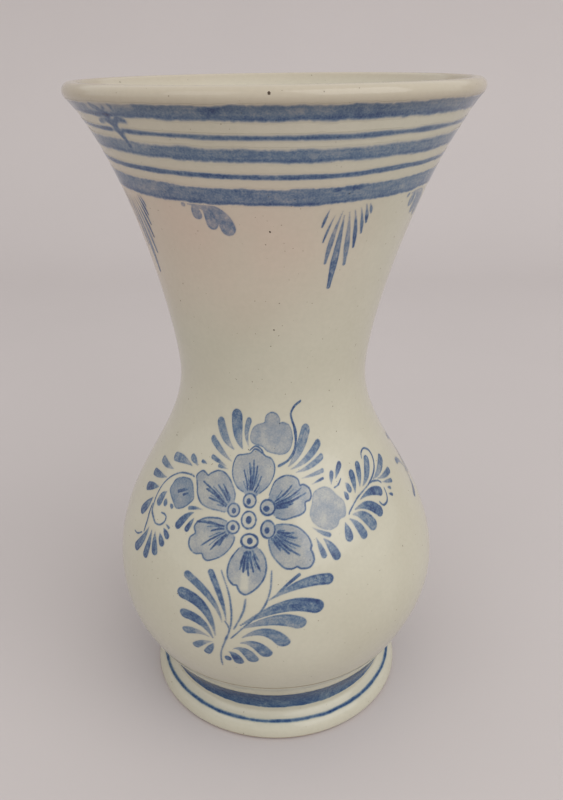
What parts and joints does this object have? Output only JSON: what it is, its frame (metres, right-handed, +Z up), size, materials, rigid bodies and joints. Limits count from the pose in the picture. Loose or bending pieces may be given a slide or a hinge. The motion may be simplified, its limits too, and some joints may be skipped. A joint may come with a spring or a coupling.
{
  "type": "painted ceramic vase",
  "caption": "Tall trumpet-necked ceramic vase on a spreading foot, cream glaze with hand-painted blue flower, leaf sprays and rim bands, for cut flowers.",
  "frame": {"origin": "centre of the foot on the surface it stands on", "axes": "+Z up along the vase's axis; the painted bouquet faces -Y; +X is to the right of someone who looks at the bouquet"},
  "size_m": [0.1348, 0.1348, 0.24],
  "materials": {
    "bare_clay": "matt fired clay at the foot's edge",
    "clay": "fired earthenware under the glaze",
    "slip": "fired slip in the seams",
    "outer_glaze": "glossy cream tin glaze",
    "inner_glaze": "glossy cream tin glaze",
    "recess_glaze": "thin cream glaze",
    "band_paint": "grey-blue pigment in the glaze",
    "brown_paint": "thin brown line in the glaze",
    "wash_paint": "pale blue wash in the glaze",
    "line_paint": "dark cobalt line in the glaze",
    "leaf_paint": "cobalt brush stroke in the glaze"
  },
  "bodies": {
    "root": {"foot_ring": "bare_clay", "belly": "clay", "neck": "clay", "rolled_lip": "clay", "foot_seam_slip": "slip", "neck_seam_slip": "slip", "lip_seam_slip": "slip", "outer_glaze": "outer_glaze", "inner_glaze": "inner_glaze", "foot_recess_glaze": "recess_glaze", "rim_band": "band_paint", "rim_line": "band_paint", "mouth_band": "band_paint", "mouth_line": "band_paint", "neck_band": "band_paint", "foot_band": "band_paint", "foot_line": "band_paint", "base_hairline": "brown_paint", "flower_petals": "wash_paint", "petal_lines": "line_paint", "flower_centre": "line_paint", "flower_buds": "wash_paint", "bud_lines": "line_paint", "upper_spray": "leaf_paint", "left_scroll_line": "line_paint", "left_spray": "leaf_paint", "right_spray": "leaf_paint", "lower_left_spray": "leaf_paint", "lower_right_spray": "leaf_paint", "stems": "line_paint", "neck_feathers": "leaf_paint", "neck_scroll_leaves": "leaf_paint", "back_flower_petals": "wash_paint", "back_flower_lines": "line_paint", "back_left_branch": "leaf_paint", "back_right_branch": "leaf_paint", "back_lower_sprays": "leaf_paint", "back_stems": "line_paint"}
  },
  "joints": []
}
